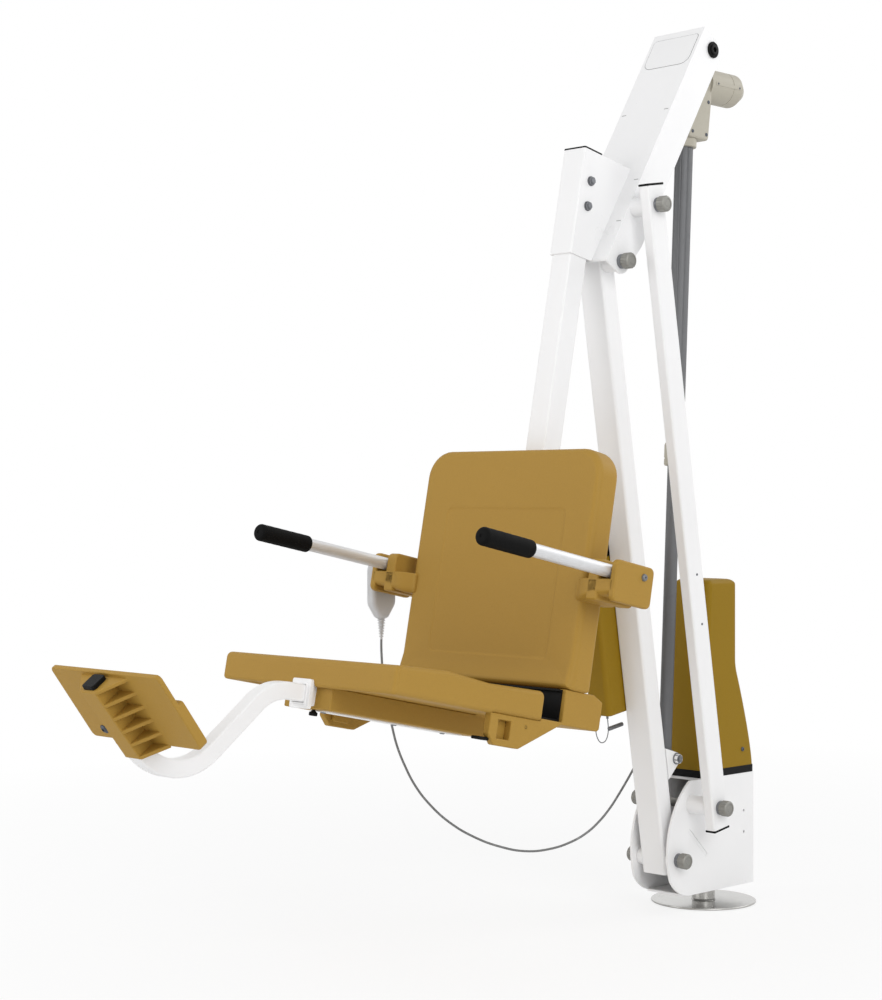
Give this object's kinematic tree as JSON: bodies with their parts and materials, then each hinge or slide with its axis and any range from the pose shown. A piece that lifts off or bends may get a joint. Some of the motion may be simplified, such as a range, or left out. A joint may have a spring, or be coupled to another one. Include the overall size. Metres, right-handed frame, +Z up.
{
  "type": "pool lift",
  "caption": "Pool lift with a turning base, powered parallel-arm mast, moulded seat, folding armrests and a sliding footrest.",
  "frame": {"origin": "on the post's axis, level with the deck and the underside of the cover disc", "axes": "+X forward over the water, +Y to the sitter's left, +Z up"},
  "size_m": [1.7736, 0.7085, 2.0446],
  "materials": {
    "deck_disc": "satin",
    "anchor_post": "satin",
    "swivel_gear": "satin",
    "thrust_pad": "satin",
    "base_side_near": "satin",
    "base_side_far": "satin",
    "base_spine": "satin",
    "base_floor": "satin",
    "swivel_bushes": "satin",
    "swivel_gearmotor": "satin",
    "control_box": "satin",
    "cover": "satin",
    "cover_band": "satin",
    "base_screws": "satin",
    "foot_shaft": "satin",
    "link_shaft_low": "satin",
    "cable_gland": "satin",
    "swivel_pinion": "satin",
    "mast": "satin",
    "mast_spacers": "satin",
    "actuator_lugs": "satin",
    "battery_case": "satin",
    "lock_pin": "satin",
    "rear_link": "satin",
    "link_plugs": "satin",
    "head_channel": "satin",
    "head_panel": "satin",
    "head_shaft": "satin",
    "link_shaft_top": "satin",
    "top_pin": "satin",
    "arm_socket": "satin",
    "seat_bolts": "satin",
    "seat_arm": "satin",
    "arm_end_cap": "satin",
    "seat_back": "satin",
    "seat_base": "satin",
    "seat_pan": "satin",
    "slot_liner": "satin",
    "armrest_forks": "satin",
    "footrest_receiver": "satin",
    "handset_body": "satin",
    "handset_cable": "satin",
    "armrest_near": "satin",
    "grip_near": "satin",
    "armrest_far": "satin",
    "grip_far": "satin",
    "footrest_tube": "satin",
    "footrest_plate": "satin",
    "footrest_fittings": "satin",
    "footrest_knob": "satin",
    "actuator_gearbox": "satin",
    "actuator_motor": "satin",
    "actuator_tube": "satin",
    "actuator_collar": "satin",
    "lead_screw": "satin",
    "actuator_rod": "satin",
    "button_up": "satin",
    "button_down": "satin",
    "button_left": "satin",
    "button_right": "satin"
  },
  "bodies": {
    "post": {"deck_disc": "deck_disc", "anchor_post": "anchor_post", "swivel_gear": "swivel_gear", "thrust_pad": "thrust_pad"},
    "base": {"base_side_near": "base_side_near", "base_side_far": "base_side_far", "base_spine": "base_spine", "base_floor": "base_floor", "swivel_bushes": "swivel_bushes", "swivel_gearmotor": "swivel_gearmotor", "control_box": "control_box", "cover": "cover", "cover_band": "cover_band", "base_screws": "base_screws", "foot_shaft": "foot_shaft", "link_shaft_low": "link_shaft_low", "cable_gland": "cable_gland"},
    "pinion": {"swivel_pinion": "swivel_pinion"},
    "arm": {"mast": "mast", "mast_spacers": "mast_spacers", "actuator_lugs": "actuator_lugs", "battery_case": "battery_case", "lock_pin": "lock_pin"},
    "link": {"rear_link": "rear_link", "link_plugs": "link_plugs"},
    "head": {"head_channel": "head_channel", "head_panel": "head_panel", "head_shaft": "head_shaft", "link_shaft_top": "link_shaft_top", "top_pin": "top_pin", "arm_socket": "arm_socket", "seat_bolts": "seat_bolts", "seat_arm": "seat_arm", "arm_end_cap": "arm_end_cap", "seat_back": "seat_back", "seat_base": "seat_base", "seat_pan": "seat_pan", "slot_liner": "slot_liner", "armrest_forks": "armrest_forks", "footrest_receiver": "footrest_receiver", "handset_body": "handset_body", "handset_cable": "handset_cable"},
    "rest_near": {"armrest_near": "armrest_near", "grip_near": "grip_near"},
    "rest_far": {"armrest_far": "armrest_far", "grip_far": "grip_far"},
    "footrest": {"footrest_tube": "footrest_tube", "footrest_plate": "footrest_plate", "footrest_fittings": "footrest_fittings"},
    "knob": {"footrest_knob": "footrest_knob"},
    "actuator": {"actuator_gearbox": "actuator_gearbox", "actuator_motor": "actuator_motor", "actuator_tube": "actuator_tube", "actuator_collar": "actuator_collar", "lead_screw": "lead_screw"},
    "rod": {"actuator_rod": "actuator_rod"},
    "key_up": {"button_up": "button_up"},
    "key_down": {"button_down": "button_down"},
    "key_left": {"button_left": "button_left"},
    "key_right": {"button_right": "button_right"}
  },
  "joints": [
    {"name": "swivel", "type": "hinge", "parent": "post", "child": "base", "pos_m": [0, 0, 0], "axis": [0, 0, 1], "range_deg": [-120, 120]},
    {"name": "pinion_spin", "type": "hinge", "parent": "base", "child": "pinion", "pos_m": [-0.0483, 0, 0], "axis": [0, 0, 1], "range_deg": [-361, 361]},
    {"name": "mast_lift", "type": "hinge", "parent": "base", "child": "arm", "pos_m": [0.153, 0, 0.113], "axis": [0, 1, 0], "range_deg": [0, 72]},
    {"name": "head_level", "type": "hinge", "parent": "arm", "child": "head", "pos_m": [0.36075, 0, 1.36792], "axis": [0, 1, 0], "range_deg": [-72.5, 0.5]},
    {"name": "link_swing", "type": "hinge", "parent": "base", "child": "link", "pos_m": [0.107, 0.115, 0.228], "axis": [0, 1, 0], "range_deg": [-0.5, 72.5]},
    {"name": "actuator_swing", "type": "hinge", "parent": "head", "child": "actuator", "pos_m": [0.05718, 0, 1.84803], "axis": [0, 1, 0], "range_deg": [-0.5, 55.6]},
    {"name": "rod_slide", "type": "slide", "parent": "actuator", "child": "rod", "axis": [-0.0504, 0, 0.9987], "range_m": [0, 0.567]},
    {"name": "armrest_near_lift", "type": "hinge", "parent": "head", "child": "rest_near", "pos_m": [0.60494, 0.302, 0.73333], "axis": [0, -1, 0], "range_deg": [0, 95]},
    {"name": "armrest_far_lift", "type": "hinge", "parent": "head", "child": "rest_far", "pos_m": [0.60494, -0.302, 0.73333], "axis": [0, -1, 0], "range_deg": [0, 95]},
    {"name": "footrest_slide", "type": "slide", "parent": "head", "child": "footrest", "axis": [0.9799, 0, 0.1994], "range_m": [0, 0.06]},
    {"name": "knob_pull", "type": "slide", "parent": "head", "child": "knob", "axis": [0.1994, 0, -0.9799], "range_m": [0, 0.007], "stiffness_N_per_m": 1500, "springref_m": -0.002},
    {"name": "press_up", "type": "slide", "parent": "head", "child": "key_up", "axis": [0, 1, 0], "range_m": [0, 0.0012], "stiffness_N_per_m": 600, "springref_m": -0.001},
    {"name": "press_down", "type": "slide", "parent": "head", "child": "key_down", "axis": [0, 1, 0], "range_m": [0, 0.0012], "stiffness_N_per_m": 600, "springref_m": -0.001},
    {"name": "press_left", "type": "slide", "parent": "head", "child": "key_left", "axis": [0, 1, 0], "range_m": [0, 0.0012], "stiffness_N_per_m": 600, "springref_m": -0.001},
    {"name": "press_right", "type": "slide", "parent": "head", "child": "key_right", "axis": [0, 1, 0], "range_m": [0, 0.0012], "stiffness_N_per_m": 600, "springref_m": -0.001}
  ],
  "couplings": [
    {"joint": "pinion_spin", "follows": "swivel", "ratio": 3},
    {"joint": "head_level", "follows": "mast_lift", "ratio": -1},
    {"joint": "link_swing", "follows": "mast_lift", "ratio": 1},
    {"joint": "actuator_swing", "follows": "mast_lift", "ratio": 0.76585},
    {"joint": "rod_slide", "follows": "mast_lift", "m_per_rad": 0.45046}
  ]
}
